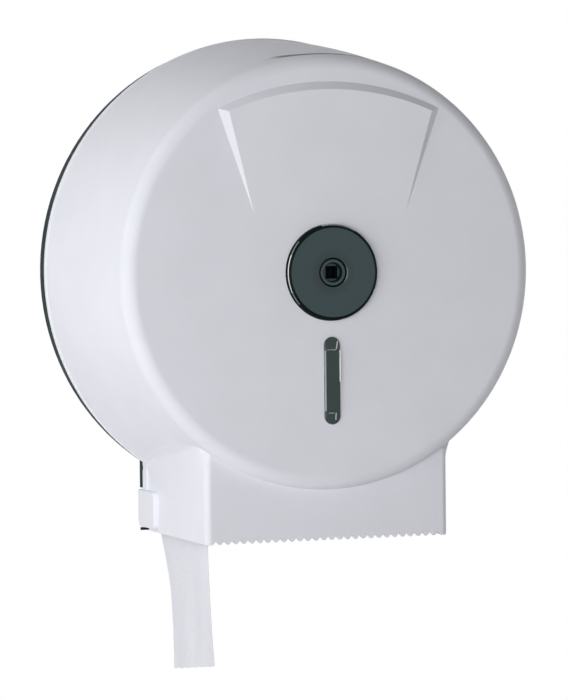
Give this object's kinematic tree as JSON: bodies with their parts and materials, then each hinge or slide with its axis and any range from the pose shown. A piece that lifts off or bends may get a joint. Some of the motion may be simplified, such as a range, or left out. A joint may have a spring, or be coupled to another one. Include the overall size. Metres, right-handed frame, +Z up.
{
  "type": "jumbo toilet roll dispenser",
  "caption": "Wall-mounted drum for a jumbo toilet roll, with a hinged white cover, a toothed paper chute, a key lock and a level window.",
  "frame": {"origin": "on the drum's axis, in the plane of the wall", "axes": "+X to the right, +Y into the wall (the front faces -Y), +Z up"},
  "size_m": [0.2706, 0.126, 0.3683],
  "materials": {
    "white_abs": "satin white moulded ABS",
    "dark_abs": "dark green-grey moulded ABS",
    "smoked_plastic": "glossy smoked plastic",
    "acetal": "natural acetal",
    "steel": "zinc-plated steel",
    "card": "plain grey-brown board",
    "tissue": "soft white tissue"
  },
  "bodies": {
    "base": {"back_plate": "dark_abs", "spindle_post": "dark_abs", "spindle_screws": "steel", "lock_keeper": "steel", "keeper_screws": "steel", "hub_washer": "acetal", "hub_ring": "steel", "hinge_pin_left": "steel", "hinge_pin_right": "steel", "paper_tail": "tissue"},
    "roll": {"core_hub": "acetal", "roll_core": "card", "paper_roll": "tissue"},
    "cover": {"cover": "white_abs", "level_window": "smoked_plastic", "window_retainer": "dark_abs", "lock_escutcheon": "smoked_plastic", "lock_nut": "acetal"},
    "lock": {"lock_barrel": "smoked_plastic", "lock_bolt": "steel", "lock_screw": "steel", "lock_spring": "steel", "lock_clip": "steel"}
  },
  "joints": [
    {"name": "cover_hinge", "type": "hinge", "parent": "base", "child": "cover", "pos_m": [0, -0.0055, -0.146], "axis": [1, 0, 0], "range_deg": [0, 85], "deforming": ["paper_tail"]},
    {"name": "roll_spin", "type": "hinge", "parent": "base", "child": "roll", "pos_m": [0, -0.05, 0], "axis": [0, 1, 0], "continuous": true},
    {"name": "lock_turn", "type": "hinge", "parent": "cover", "child": "lock", "pos_m": [0, -0.12, 0], "axis": [0, 1, 0], "range_deg": [0, 90]}
  ]
}
